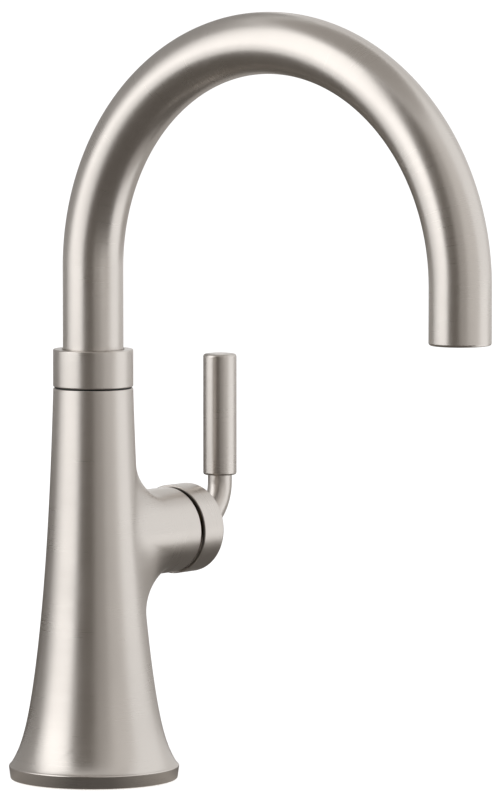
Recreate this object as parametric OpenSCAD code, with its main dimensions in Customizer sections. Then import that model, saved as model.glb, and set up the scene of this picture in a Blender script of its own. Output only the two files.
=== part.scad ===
// Gooseneck bar faucet with a side lever.
// Millimetres. Z is up, the spout reaches along -Y and the lever stands off along +X.
// The origin is the middle of the round foot, on the worktop.

/* [Body] */
// Height of the flared body, from the worktop to the swivel gap
body_h = 164.8; // [160:0.1:180]
// Radius that the flared body would shrink to if it never ended
core_r = 14.5; // [14.3:0.1:15.5]
// Radius that the long sweep of the flare adds at the foot
sweep_r = 18.2; // [17.8:0.1:20]
// Height over which the long sweep falls to about a third
sweep_h = 79; // [75:1:88]
// Radius that the short kick of the flare adds at the foot
kick_r = 8.2; // [7:0.1:9]
// Height over which the short kick falls to about a third
kick_h = 8.1; // [6:0.1:9]
// Radius of the foot's upright rim
rim_r = 35.8; // [35.4:0.1:38]
// Height of the foot's upright rim
rim_h = 6.2; // [5.5:0.1:7]
// How far the rim draws in from its top to its bottom
rim_draft = 0.6; // [0:0.1:1]
// Rounding of the rim's edges
rim_round = 0.9; // [0.4:0.1:1.2]
// Wall of the hollow flare
body_wall = 2.6; // [2:0.1:3]
// Radius of the straight bore in the upper body
core_bore_r = 14.4; // [13.9:0.1:14.6]

/* [Side boss] */
// Depth of the boss's axis below the body's top
boss_drop = 63.9; // [62:0.1:66]
// Depth of the shoulder that carries the water block, below the boss's axis
block_drop = 42.9; // [40:0.1:46]
// Distance of the boss's end face from the body's axis
boss_x = 49.7; // [49:0.1:54]
// Radius of the boss
boss_r = 18.15; // [18:0.05:18.5]
// Radius of the blend into the body, under the boss
blend_low = 8.3; // [7:0.1:12]
// Radius of the blend into the body, over the boss
blend_high = 15; // [12:0.5:18]
// Radius of the blend into the body, at the boss's sides
blend_side = 46; // [40:1:50]
// Rounding of the boss's rim
boss_round = 0.5; // [0.2:0.1:0.8]

/* [Handle] */
// Width of the dark gap between boss and hub
hub_gap = 1.6; // [1.3:0.1:2]
// Radius of the hub
hub_r = 18.9; // [18.6:0.1:19.4]
// Length of the hub
hub_l = 13.2; // [12.6:0.1:15]
// Rounding of the hub's outer edge
hub_round = 1.4; // [0.8:0.1:2]
// Distance of the tilt axis inside the boss's end face
pivot_in = 13; // [12.8:0.1:13.4]
// Radius of the bent lever rod
rod_r = 5.15; // [4.9:0.05:5.6]
// Radius of the lever rod's bend, at its centre line
bend_r = 18; // [15:0.5:22]
// Straight run between the hub and the bend
rod_lead = 2; // [1.5:0.1:5]
// Radius of the upright grip
grip_r = 7.15; // [6.8:0.05:8]
// Length of the upright grip
grip_l = 52.5; // [40:0.5:70]
// Height of the grip's lower end over the end of the bend
grip_lift = 2.8; // [2:0.1:8]
// Depth of the rod in the grip
grip_socket = 14; // [8:1:20]
// Largest tilt of the lever, away from the body
tilt_max = 20; // [15:1:20]

/* [Spout] */
// Outer radius of the bent tube
tube_r = 12.7; // [12.3:0.1:13]
// Wall of the bent tube
tube_wall = 1.3; // [1:0.1:1.5]
// Radius of the arch, at the tube's centre line
arch_r = 95.7; // [80:0.1:120]
// Height of the arch's spring line over the collar
leg_rise = 34.3; // [20:0.1:60]
// Length of the straight end below the spring line
leg_drop = 23.2; // [18:0.1:45]
// Radius of the collar
collar_r = 16.8; // [16.2:0.1:17.4]
// Height of the collar
collar_h = 15.7; // [13:0.1:20]
// Rounding of the collar's edges
collar_round = 0.5; // [0.2:0.1:0.9]
// Width of the swivel gap between body and collar
swivel_gap = 0.6; // [0.5:0.05:0.9]
// Radius of the water way through the swivel stem
swivel_bore_r = 7.6; // [6.5:0.1:8]

/* [Cartridge] */
// Outer radius of the cartridge's housing
housing_r = 13; // [12.8:0.1:13.2]
// Width of the flange that seats the housing in the boss
flange_w = 1.5; // [1.3:0.1:1.7]
// Wall of the cartridge's housing
housing_wall = 1.6; // [1.4:0.1:1.7]
// Radius of the control stem that the hub sits on
stem_r = 3.5; // [3.3:0.1:3.6]
// Length of the control stem's inner arm, from the tilt axis to its ball
arm_l = 8; // [7.8:0.1:8.2]
// Radius of the ball on the inner arm
ball_r = 2.2; // [2:0.1:2.3]
// Radius of the tilt axis's pin
pin_r = 1.5; // [1.2:0.1:1.6]
// Radius of the sliding ceramic disc
disc_r = 8.4; // [8:0.1:8.5]
// Thickness of each ceramic disc
disc_t = 3.5; // [3:0.1:3.6]
// Radius of the three water ports
port_r = 2.5; // [2:0.1:2.7]
// Distance of the ports from the cartridge's axis
port_ring_r = 6.6; // [6.2:0.1:7]
// Turn of the lever from cold to hot
turn_max = 90; // [60:5:110]

/* [Inlets and fixing] */
// Distance between the two hose sockets
inlet_pitch = 15; // [14:0.5:18]
// Radius of a hose socket's thread, at its crests
inlet_r = 4.5; // [4:0.1:5]
// Radius of the fixing stud's thread, at its crests
stud_r = 3.4; // [2.5:0.1:4.2]
// Distance of the fixing stud from the middle of the foot, away from the lever
stud_off = 11; // [10:0.5:13]
// Depth of the hose sockets and the stud's hole
thread_l = 11; // [9:0.5:12]
// Outer radius of an inlet pipe
pipe_r = 4; // [3.5:0.1:4.5]
// Wall of an inlet pipe
pipe_wall = 0.8; // [0.5:0.1:1]

/* [Fits] */
// Radial play of a running fit
run_fit = 0.08; // [0.04:0.01:0.1]
// Play left between flat faces that slide on each other
face_play = 0.05; // [0.03:0.01:0.08]
// Room left around a moving piece that touches nothing
air = 0.5; // [0.3:0.1:0.8]

/* [Hidden] */
$fn = 96;
// Overlap where two shapes share a face
eps = 0.01;
// How far a cutting shape runs past what it cuts
cut = 1;
// Sides of thin round wire, and of large curves that show
wire_sides = 48;
fine_sides = 180;

// Finishes
nickel = [0.74, 0.70, 0.67];
brass = [0.80, 0.66, 0.36];
copper = [0.78, 0.46, 0.32];
steel = [0.60, 0.61, 0.63];
ceramic = [0.93, 0.92, 0.88];
black = [0.07, 0.07, 0.08];
acetal = [0.88, 0.88, 0.86];
grey = [0.45, 0.46, 0.48];
red = [0.70, 0.13, 0.13];

// Heights along the body
boss_z = body_h - boss_drop;
shoulder_z = boss_z - block_drop;

// Foot
foot_wall = 8.6;
insert_r = rim_r - foot_wall;
insert_z = 3;
insert_top = insert_z + thread_l;
socket_floor = 3;
gasket_land = 1.6;
gasket_edge = 3.2;
gasket_in_r = insert_r + gasket_land;
gasket_out_r = rim_r - gasket_edge;
gasket_t = 2;
rim_step = 0.25;
flare_step = 6;
flare_n = 26;
flare_bias = 1.7;

// Boss
boss_sides = 72;
boss_bore_r = housing_r + flange_w;
boss_root_r = core_bore_r + 1;
blend_rings = 12;
blend_dip = 0.1;

// Swivel
swivel_z = body_h + swivel_gap;
bush_wall = 2.6;
bush_bore_r = core_bore_r - bush_wall;
bush_l = 24;
bush_inset = 0.7;
bush_flange_r = collar_r - bush_inset;
clip_t = 1.2;
clip_play = 0.4;
clip_top = body_h - bush_l - clip_play;
clip_bottom = clip_top - clip_t;
clip_grip = 1.6;
clip_in_r = bush_bore_r - clip_grip;
clip_split = 6;
clip_out_r = core_bore_r - air;
waterway_top = clip_bottom - clip_play;
spigot_r = bush_bore_r - run_fit;
seal_wire_r = 1.25;
seal_path_r = bush_bore_r - face_play - seal_wire_r;
seal_groove_r = seal_path_r - seal_wire_r;
seal_side_play = 0.2;
seal_groove_w = 2 * (seal_wire_r + seal_side_play);
seal_land = 4;
seal_pitch = 6;
seal_z1 = waterway_top - seal_land;
seal_z2 = seal_z1 - seal_pitch;
spigot_bottom = seal_z2 - seal_land;
sleeve_room = 1;
sleeve_bottom = spigot_bottom - sleeve_room;
shoulder_t = 4;
waterway_bottom = shoulder_z + shoulder_t;
pipe_depth = 8;
pipe_seat = 2;
pipe_top = waterway_bottom + pipe_depth;
pipe_seal_in = 2;
pipe_seal_z = waterway_bottom + pipe_seal_in;

// Spout
tube_in_r = tube_r - tube_wall;
collar_top = swivel_z + collar_h;
spring_z = collar_top + leg_rise;
outlet_z = spring_z - leg_drop;
reach = 2 * arch_r;
collar_floor = 3;
tube_seat_z = swivel_z + collar_floor;
stem_over = 2;
stem_grip_l = collar_h + stem_over;
seam_w = 0.5;
seam_depth = 0.6;
outlet_ease = 0.5;
insert_wall = 1;
insert_ring_r = tube_in_r - insert_wall;
outlet_recess = 0.6;
outlet_l = 12;
aerator_r = insert_ring_r;
aerator_wall = 1.5;
aerator_in_r = aerator_r - aerator_wall;
aerator_l = 7;
aerator_z = 0.2;
grid_z = 0.6;
grid_t = 2;
grid_pitch = 3.1;
grid_rows = 3;
regulator_t = 1.4;
regulator_holes = 6;
regulator_hole_r = 1.1;
regulator_hole_in = 3;
regulator_hole_ring_r = aerator_in_r - regulator_hole_in;
washer_t = 1.6;

// Cartridge, all distances along the boss's axis
pivot_x = boss_x - pivot_in;
bore_in_r = housing_r - housing_wall;
ball_x = pivot_x - arm_l;
well_floor = 0.6;
well_play = 0.2;
carrier_lip = 1;
carrier_t = 2 * ball_r + carrier_lip;
carrier_x = ball_x - ball_r - well_floor - well_play;
turret_x = carrier_x + carrier_t + face_play;
sliding_x = carrier_x - disc_t;
fixed_x = sliding_x - face_play - disc_t;
pin_cover = 1;
pin_short = 1.2;
turret_end = pivot_x + pin_r + pin_cover;
housing_lip = 1;
housing_end = turret_end + housing_lip;
port_plate_t = 5;
housing_x = fixed_x - port_plate_t;
pocket_x = 5;
seal_wire = 0.5;
base_x = pocket_x + 2 * seal_wire;
flange_back = 4;
flange_x = housing_end - flange_back;
flange_t = 2;
ring_x = housing_end + face_play;
ring_t = 1.6;
neck_end = ring_x + ring_t;
neck_step = 2;
neck_r = bore_in_r - neck_step;
lug_h = 1.4;
lug_r = neck_r + lug_h;
lug_half = 12;
sector_steps = 12;
stop_play = 1;
nut_x = flange_x + flange_t;
nut_lip_x = neck_end + air;
nut_lip_t = 3;
nut_end = nut_lip_x + nut_lip_t;
nut_lip_r = (nut_end - pivot_x) * tan(tilt_max) + stem_r / cos(tilt_max) + air;
rail_y = 7;
slot_play = 0.1;
slot_w = 2 * (stem_r + slot_play);
slot_h = 14;
mixing_r = 4.4;
mixing_depth = 1.6;
mixing_off = 1.5;

// Domed bonnet and the hub's hollow, both centred on the tilt axis
mouth_rim = 1;
bonnet_r = boss_r - mouth_rim;
bonnet_seat = 1.5;
bonnet_skirt = 1.2;
dome_r = norm([bonnet_r, pivot_in]);
dome_play = 0.2;
dome_hole_r = dome_r * sin(tilt_max) + stem_r / cos(tilt_max) + dome_play;
dome_wall = 1.6;
hub_x = boss_x + hub_gap;
hub_end = hub_x + hub_l;
hub_lip = 1;
hub_lip_r = hub_r - hub_lip;
hub_edge = 0.4;
hollow_r = norm([hub_lip_r, hub_x - pivot_x]);
screw_r = 2;
screw_in = 2.7;
screw_x = hub_end - screw_in;
screw_l = 12;
screw_key_r = 1.15;
screw_key_depth = 2.5;
stem_short = 0.6;
socket_end = hub_end + rod_lead - stem_short;
rod_back = 0.1;
rod_x = pivot_x + hollow_r + rod_back;

// Lever
bend_x = hub_end + rod_lead;
grip_x = bend_x + bend_r;
grip_z = boss_z + bend_r + grip_lift;
grip_round = 1;
mouth_ease = 0.6;
ball_neck = 0.8;

// Water ways in the block
inlet_y = inlet_pitch / 2;
port_angle = 42;
channel_y = port_ring_r * sin(port_angle);
channel_z = boss_z - port_ring_r * cos(port_angle);
outlet_port_z = boss_z + port_ring_r;
seal_ring_r = port_r + seal_wire;
riser_x = -3;
riser_r = port_r + 1;

// Outer radius of the flared body at height z
function body_r(z) = core_r + sweep_r * exp(-z / sweep_h) + kick_r * exp(-z / kick_h);

// Points of an arc round c, from angle a to angle b
function arc(c, r, a, b, n = 6) =
    [for (i = [0:n]) c + r * [cos(a + (b - a) * i / n), sin(a + (b - a) * i / n)]];

// Heights of the flare's outline, closer together where it bends more
function flare_z(i) = rim_h + (body_h - rim_h) * pow(i / flare_n, flare_bias);

// Stands children up along the boss's axis: local Z becomes X
module on_boss(x = 0) {
    translate([x, 0, boss_z]) rotate([0, 90, 0]) children();
}

module tube(r_out, r_in, h) {
    difference() {
        cylinder(r = r_out, h = h);
        translate([0, 0, -cut]) cylinder(r = r_in, h = h + 2 * cut);
    }
}

// Ring of round wire lying in the XY plane
module wire_ring(path_r, wire_r) {
    rotate_extrude() translate([path_r, 0]) circle(r = wire_r, $fn = wire_sides);
}

// Cylinder with both edges rounded
module rounded_bar(r, h, round) {
    rotate_extrude() polygon(concat(
        [[0, 0]],
        arc([r - round, round], round, -90, 0),
        arc([r - round, h - round], round, 0, 90),
        [[0, h]]
    ));
}

// ---- Body ----

// Outline of the foot's rim and the flare above it
module flare_outline() {
    polygon(concat(
        [[0, 0]],
        arc([rim_r - rim_draft - rim_round, rim_round], rim_round, -90, 0),
        arc([rim_r - rim_round, rim_h - rim_round], rim_round, 0, 45),
        [for (i = [0:flare_n]) [min(body_r(flare_z(i)), rim_r - rim_step), flare_z(i)]],
        [[0, body_h]]
    ));
}

// The blend is what a ball leaves that rolls round the corner between the boss and the body. Its radius
// at angle a round the boss changes smoothly between the sides, the top and the bottom.
function blend_ball(a) =
    blend_side + ((sin(a) > 0 ? blend_high : blend_low) - blend_side) * pow(sin(a), 2);

// Middle of the ball: it touches the boss, and dips into the body a little so that the two join
function ball_centre(a) =
    let (
        ball = blend_ball(a),
        y = (boss_r + ball) * cos(a),
        z = boss_z + (boss_r + ball) * sin(a)
    )
    [sqrt(pow(body_r(z) + ball - blend_dip, 2) - y * y), y, z];

// Point of the blend at angle a, from the body at t = 0 to the boss at t = 1
function blend_point(a, t) =
    let (
        centre = ball_centre(a),
        to_boss = [0, cos(a), sin(a)],
        to_body = [centre.x, centre.y, 0] / norm([centre.x, centre.y]),
        turn = acos(to_boss * to_body)
    )
    centre - blend_ball(a) * (sin(t * turn) * to_boss + sin((1 - t) * turn) * to_body) / sin(turn);

// Angles of the boss's sides
boss_angles = [for (j = [0:boss_sides - 1]) 360 * j / boss_sides];

// Flat ring of radius r round the boss's axis, at distance x from the body's axis
function boss_ring(x, r) = [for (a = boss_angles) [x, r * cos(a), boss_z + r * sin(a)]];

// Boss, lofted from a ring inside the body, through the blend, to the rounded rim
module boss_loft() {
    rings = concat(
        [boss_ring(0, boss_root_r)],
        [for (i = [0:blend_rings]) [for (a = boss_angles) blend_point(a, i / blend_rings)]],
        [for (turn = [0:30:90])
            boss_ring(boss_x - boss_round * (1 - sin(turn)), boss_r - boss_round * (1 - cos(turn)))]
    );
    n = boss_sides;
    m = len(rings) - 1;
    sides = [
        for (i = [0:m - 1], j = [0:n - 1])
            let (a = i * n + j, b = i * n + (j + 1) % n)
            each [[a, b + n, b], [a, a + n, b + n]]
    ];
    caps = [[for (j = [0:n - 1]) j], [for (j = [n - 1:-1:0]) m * n + j]];
    polyhedron(points = [for (ring = rings) each ring], faces = concat(sides, caps), convexity = 4);
}

module body_shell() color(nickel) {
    difference() {
        union() {
            rotate(180) rotate_extrude() flare_outline();
            boss_loft();
        }
        // Hollow flare
        rotate_extrude() polygon(concat(
            [[0, insert_top]],
            [for (z = [insert_top:flare_step:shoulder_z]) [body_r(z) - body_wall, z]],
            [[body_r(shoulder_z) - body_wall, shoulder_z], [0, shoulder_z]]
        ));
        // Seat of the foot's insert, and the gasket's groove
        translate([0, 0, -cut]) cylinder(r = insert_r, h = insert_top + cut + eps);
        translate([0, 0, -cut]) tube(gasket_out_r, gasket_in_r, gasket_t + cut);
        // Straight bore for the water block and the swivel
        translate([0, 0, shoulder_z - cut]) cylinder(r = core_bore_r, h = body_h);
        // Bore of the boss, with the bonnet's seat at its mouth
        on_boss() cylinder(r = boss_bore_r, h = boss_x + cut);
        on_boss(boss_x - bonnet_seat) cylinder(r = bonnet_r, h = bonnet_seat + cut);
    }
}

module base_gasket() color(black) tube(gasket_out_r, gasket_in_r, gasket_t);

// Brass insert that closes the foot: two hose sockets and the hole of the fixing stud
module base_insert() color(brass) {
    translate([0, 0, insert_z]) difference() {
        cylinder(r = insert_r, h = thread_l);
        for (side = [-1, 1]) translate([0, side * inlet_y, 0]) {
            translate([0, 0, -cut]) cylinder(r = inlet_r, h = thread_l - socket_floor + cut);
            cylinder(r = pipe_r - pipe_wall, h = thread_l + cut);
            translate([0, 0, thread_l - pipe_seat]) cylinder(r = pipe_r, h = pipe_seat + cut);
        }
        translate([-stud_off, 0, -cut]) cylinder(r = stud_r, h = thread_l + 2 * cut);
    }
}

module inlet_pipe(side) color(copper) {
    translate([0, side * inlet_y, insert_top - pipe_seat])
        tube(pipe_r, pipe_r - pipe_wall, pipe_top - insert_top + pipe_seat);
}

module hot_inlet_pipe() inlet_pipe(-1);
module cold_inlet_pipe() inlet_pipe(1);

// Water block: carries the cartridge's inner end and the swivel's sleeve
module waterway() color(brass) difference() {
    translate([0, 0, waterway_bottom]) cylinder(r = core_bore_r, h = waterway_top - waterway_bottom);
    // Sleeve that the swivel stem turns in
    translate([0, 0, sleeve_bottom]) cylinder(r = bush_bore_r, h = body_h);
    // Pocket of the cartridge
    on_boss(pocket_x) cylinder(r = housing_r, h = boss_x);
    // Outlet, from the cartridge up to the sleeve
    on_boss(riser_x) translate([-port_ring_r, 0, 0]) cylinder(r = port_r, h = pocket_x - riser_x + cut);
    translate([riser_x, 0, outlet_port_z - port_r])
        cylinder(r = riser_r, h = sleeve_bottom + cut - outlet_port_z + port_r);
    // Inlets, from the pipes up to the cartridge
    for (side = [-1, 1]) {
        translate([0, side * inlet_y, waterway_bottom - cut]) cylinder(r = pipe_r, h = pipe_depth + cut);
        translate([0, side * inlet_y, pipe_top - cut])
            cylinder(r = pipe_r - pipe_wall, h = channel_z - pipe_top + port_r + cut);
        on_boss(-port_r) translate([boss_z - channel_z, side * channel_y, 0])
            cylinder(r = port_r, h = pocket_x + port_r + cut);
        // Grooves of the pipes' seals
        translate([0, side * inlet_y, pipe_seal_z]) cylinder(r = pipe_r + 2 * seal_wire, h = 2 * seal_wire);
    }
}

module inlet_seals() color(black) {
    for (side = [-1, 1])
        translate([0, side * inlet_y, pipe_seal_z + seal_wire]) wire_ring(pipe_r + seal_wire, seal_wire);
}

// ---- Swivel ----

// Acetal bush screwed into the body's top, whose flange is the dark line under the collar
module swivel_bush() color(black) {
    translate([0, 0, body_h - bush_l]) tube(core_bore_r, bush_bore_r, bush_l);
    translate([0, 0, body_h]) tube(bush_flange_r, bush_bore_r, swivel_gap - face_play);
}

module collar() color(nickel) {
    translate([0, 0, swivel_z]) difference() {
        rounded_bar(collar_r, collar_h, collar_round);
        translate([0, 0, collar_floor]) cylinder(r = tube_r, h = collar_h);
        translate([0, 0, -cut]) cylinder(r = tube_in_r, h = collar_h);
        // Fine seam round the tube
        translate([0, 0, collar_h - seam_depth]) cylinder(r = tube_r + seam_w, h = seam_depth + cut);
    }
}

// Gooseneck: a straight leg, half a ring and a straight end, hollow all through
module spout_tube() color(nickel) {
    $fn = fine_sides;
    translate([0, 0, spring_z]) mirror([0, 0, 1]) tube(tube_r, tube_in_r, spring_z - tube_seat_z);
    translate([0, -arch_r, spring_z]) rotate([90, 0, 90]) rotate_extrude(angle = 180)
        translate([arch_r, 0]) difference() {
            circle(r = tube_r);
            circle(r = tube_in_r);
        }
    difference() {
        translate([0, -reach, spring_z]) mirror([0, 0, 1]) tube(tube_r, tube_in_r, leg_drop);
        // Eased inner edge of the outlet
        translate([0, -reach, outlet_z - eps])
            cylinder(r1 = tube_in_r + outlet_ease, r2 = tube_in_r, h = outlet_ease);
    }
}

// Brass stem brazed into the tube, which turns in the body and holds the seals and the clip
module swivel_stem() color(brass) difference() {
    union() {
        translate([0, 0, spigot_bottom]) cylinder(r = spigot_r, h = swivel_z - spigot_bottom);
        translate([0, 0, swivel_z]) cylinder(r = tube_in_r, h = stem_grip_l);
    }
    translate([0, 0, spigot_bottom - cut]) cylinder(r = swivel_bore_r, h = body_h);
    for (z = [seal_z1, seal_z2])
        translate([0, 0, z - seal_groove_w / 2]) tube(spigot_r + cut, seal_groove_r, seal_groove_w);
    translate([0, 0, clip_bottom - face_play]) tube(spigot_r + cut, clip_in_r, clip_t + 2 * face_play);
}

module stem_seals() color(black) {
    for (z = [seal_z1, seal_z2]) translate([0, 0, z]) wire_ring(seal_path_r, seal_wire_r);
}

// Split spring ring that stops the spout from lifting out
module retaining_clip() color(steel) translate([0, 0, clip_bottom]) difference() {
    tube(clip_out_r, clip_in_r, clip_t);
    translate([0, -clip_split / 2, -cut]) cube([clip_out_r + cut, clip_split, clip_t + 2 * cut]);
}

// ---- Outlet ----

module at_outlet(z) translate([0, -reach, outlet_z + outlet_recess + z]) children();

module outlet_insert() color(brass) at_outlet(0) tube(tube_in_r, insert_ring_r, outlet_l);

module aerator_body() color(grey) at_outlet(aerator_z) tube(aerator_r, aerator_in_r, aerator_l);

// Honeycomb that straightens the stream
module flow_straightener() color(acetal) at_outlet(grid_z) difference() {
    cylinder(r = aerator_in_r, h = grid_t);
    for (row = [-grid_rows:grid_rows], col = [-grid_rows:grid_rows])
        let (x = grid_pitch * (col + row / 2), y = grid_pitch * row * sin(60))
        if (norm([x, y]) < aerator_in_r - grid_pitch / 2)
            translate([x, y, -cut]) rotate(30) cylinder(r = grid_pitch / 2, h = grid_t + 2 * cut, $fn = 6);
}

module flow_regulator() color(acetal) at_outlet(aerator_z + aerator_l) difference() {
    cylinder(r = aerator_r, h = regulator_t);
    for (i = [1:regulator_holes])
        rotate(360 * i / regulator_holes) translate([regulator_hole_ring_r, 0, -cut])
            cylinder(r = regulator_hole_r, h = regulator_t + 2 * cut);
}

module aerator_washer() color(black)
    at_outlet(aerator_z + aerator_l + regulator_t) tube(aerator_r, aerator_in_r, washer_t);

// ---- Cartridge ----

module cartridge_housing() color(acetal) on_boss(housing_x) difference() {
    union() {
        cylinder(r = housing_r, h = housing_end - housing_x);
        translate([0, 0, flange_x - housing_x]) cylinder(r = boss_bore_r, h = flange_t);
    }
    translate([0, 0, -cut]) cylinder(r = bore_in_r, h = turret_end + face_play - housing_x + cut);
    cylinder(r = neck_r + run_fit, h = boss_x);
}

module port_places() {
    translate([-port_ring_r, 0, 0]) children();
    for (side = [-1, 1]) translate([boss_z - channel_z, side * channel_y, 0]) children();
}

module cartridge_base() color(acetal) on_boss(base_x) difference() {
    union() {
        cylinder(r = housing_r, h = housing_x - base_x);
        cylinder(r = bore_in_r, h = fixed_x - base_x);
    }
    translate([0, 0, -cut]) port_places() cylinder(r = port_r, h = boss_x);
}

module port_seals() color(black)
    on_boss(pocket_x + seal_wire) port_places() wire_ring(seal_ring_r, seal_wire);

module fixed_disc() color(ceramic) on_boss(fixed_x) difference() {
    cylinder(r = bore_in_r, h = disc_t);
    translate([0, 0, -cut]) port_places() cylinder(r = port_r, h = disc_t + 2 * cut);
}

// Sector of a circle from angle a to angle b
module sector(r, a, b) {
    polygon(concat([[0, 0]], arc([0, 0], r, a, b, sector_steps)));
}

// Ring that stops the turret at hot and at cold: its window leaves room for the turret's lug
module limit_ring() color(red) on_boss(ring_x) linear_extrude(ring_t) difference() {
    circle(r = housing_r);
    circle(r = neck_r + run_fit);
    rotate(180) sector(lug_r + run_fit, -lug_half - stop_play, turn_max + lug_half + stop_play);
}

module cartridge_nut() color(brass) on_boss(nut_x) difference() {
    cylinder(r = boss_bore_r, h = nut_end - nut_x);
    translate([0, 0, -cut]) cylinder(r = housing_r, h = nut_lip_x - nut_x + cut);
    cylinder(r = nut_lip_r, h = boss_x);
}

// Dark domed ring in the boss's mouth, round in every direction about the tilt axis
module bonnet_ring() color(black) on_boss(pivot_x) {
    seat_x = boss_x - bonnet_seat - pivot_x;
    rotate_extrude() intersection() {
        difference() {
            circle(r = dome_r);
            circle(r = dome_r - dome_wall);
        }
        translate([dome_hole_r, seat_x]) square([bonnet_r - dome_hole_r, dome_r]);
    }
    translate([0, 0, seat_x]) tube(bonnet_r, boss_bore_r - bonnet_skirt, bonnet_seat);
    translate([0, 0, nut_end - pivot_x])
        tube(boss_bore_r, boss_bore_r - bonnet_skirt, seat_x - nut_end + pivot_x);
}

// Turret: turns in the housing, carries the tilt pin and guides the disc carrier
module turret() color(grey) on_boss(carrier_x) difference() {
    union() {
        cylinder(r = bore_in_r - run_fit, h = turret_end - carrier_x);
        cylinder(r = neck_r, h = neck_end - carrier_x);
        translate([0, 0, ring_x - carrier_x + face_play]) rotate(180) linear_extrude(ring_t - face_play)
            intersection() {
                circle(r = lug_r);
                sector(lug_r + cut, -lug_half, lug_half);
            }
    }
    // Guide of the carrier, open along Z
    translate([-boss_x, -rail_y - run_fit, -cut])
        cube([2 * boss_x, 2 * (rail_y + run_fit), turret_x - carrier_x + cut]);
    // Slot that the control stem tilts in
    translate([-slot_h / 2, -slot_w / 2, -cut]) cube([slot_h, slot_w, boss_x]);
    // Hole of the tilt pin
    translate([0, 0, pivot_x - carrier_x]) rotate([90, 0, 0]) cylinder(r = pin_r, h = boss_x, center = true);
}

module tilt_pin() color(steel) on_boss(pivot_x) rotate([90, 0, 0])
    cylinder(r = pin_r, h = 2 * (bore_in_r - pin_short), center = true);

// Carrier of the sliding disc, with the well that the stem's ball works in
module disc_carrier() color(acetal) on_boss(carrier_x) difference() {
    intersection() {
        cylinder(r = disc_r, h = carrier_t);
        translate([-boss_x, -rail_y, 0]) cube([2 * boss_x, 2 * rail_y, carrier_t]);
    }
    translate([0, 0, well_floor]) cylinder(r = ball_r + well_play / 2, h = carrier_t);
}

module sliding_disc() color(ceramic) on_boss(sliding_x) difference() {
    cylinder(r = disc_r, h = disc_t);
    // Mixing well that joins the ports
    translate([-mixing_off, 0, -cut]) cylinder(r = mixing_r, h = mixing_depth + cut);
}

// ---- Handle ----

// Control stem: a round bar that turns on the tilt pin, with a ball on its inner arm
module control_stem() color(brass) on_boss(pivot_x) difference() {
    union() {
        translate([0, 0, -stem_r]) cylinder(r = stem_r, h = socket_end - pivot_x + stem_r);
        translate([0, 0, -arm_l]) cylinder(r = ball_r - ball_neck, h = arm_l);
        translate([0, 0, -arm_l]) sphere(r = ball_r);
    }
    rotate([90, 0, 0]) cylinder(r = pin_r + run_fit, h = boss_x, center = true);
}

// Hole of the set screw, from under the hub to the control stem
module screw_hole() translate([screw_x, 0, boss_z - hub_r - cut])
    cylinder(r = screw_r, h = hub_r + cut - stem_r / 2);

// Hub: a short drum, hollowed to a bowl that clears the dome when the lever tilts
module hub() color(nickel) difference() {
    on_boss(pivot_x) rotate_extrude() difference() {
        polygon(concat(
            [[rod_r, hub_x - pivot_x], [hub_lip_r, hub_x - pivot_x]],
            arc([hub_r - hub_edge, hub_x - pivot_x + hub_edge], hub_edge, -90, 0),
            arc([hub_r - hub_round, hub_end - pivot_x - hub_round], hub_round, 0, 90),
            [[rod_r, hub_end - pivot_x]]
        ));
        circle(r = hollow_r, $fn = fine_sides);
    }
    screw_hole();
}

module hub_set_screw() color(steel) translate([screw_x, 0, boss_z - stem_r - screw_l]) difference() {
    cylinder(r = screw_r, h = screw_l);
    translate([0, 0, -cut]) cylinder(r = screw_key_r, h = screw_key_depth + cut, $fn = 6);
}

// Rod: out of the hub's middle, round a quarter bend and up into the grip
module lever_rod() color(nickel) difference() {
    union() {
        on_boss(bend_x) mirror([0, 0, 1]) cylinder(r = rod_r, h = bend_x - rod_x);
        translate([bend_x, 0, boss_z + bend_r]) rotate([90, 0, 0]) rotate(-90) rotate_extrude(angle = 90)
            translate([bend_r, 0]) circle(r = rod_r);
        translate([grip_x, 0, boss_z + bend_r]) cylinder(r = rod_r, h = grip_lift + grip_socket);
    }
    on_boss(rod_x - cut) cylinder(r = stem_r, h = socket_end - rod_x + cut);
    screw_hole();
}

module grip() color(nickel) translate([grip_x, 0, grip_z]) difference() {
    rounded_bar(grip_r, grip_l, grip_round);
    translate([0, 0, -cut]) cylinder(r = rod_r, h = grip_socket + cut);
    // Eased mouth round the rod
    translate([0, 0, -eps]) cylinder(r1 = rod_r + mouth_ease, r2 = rod_r, h = mouth_ease);
}

body_shell();
base_gasket();
base_insert();
waterway();
hot_inlet_pipe();
cold_inlet_pipe();
inlet_seals();
swivel_bush();
cartridge_housing();
cartridge_base();
port_seals();
fixed_disc();
limit_ring();
cartridge_nut();
bonnet_ring();
turret();
tilt_pin();
disc_carrier();
sliding_disc();
control_stem();
hub();
lever_rod();
grip();
hub_set_screw();
collar();
spout_tube();
swivel_stem();
stem_seals();
retaining_clip();
outlet_insert();
aerator_washer();
flow_regulator();
aerator_body();
flow_straightener();
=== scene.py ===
"""Gooseneck bar faucet: finishes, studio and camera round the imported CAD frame."""

import math

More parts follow.
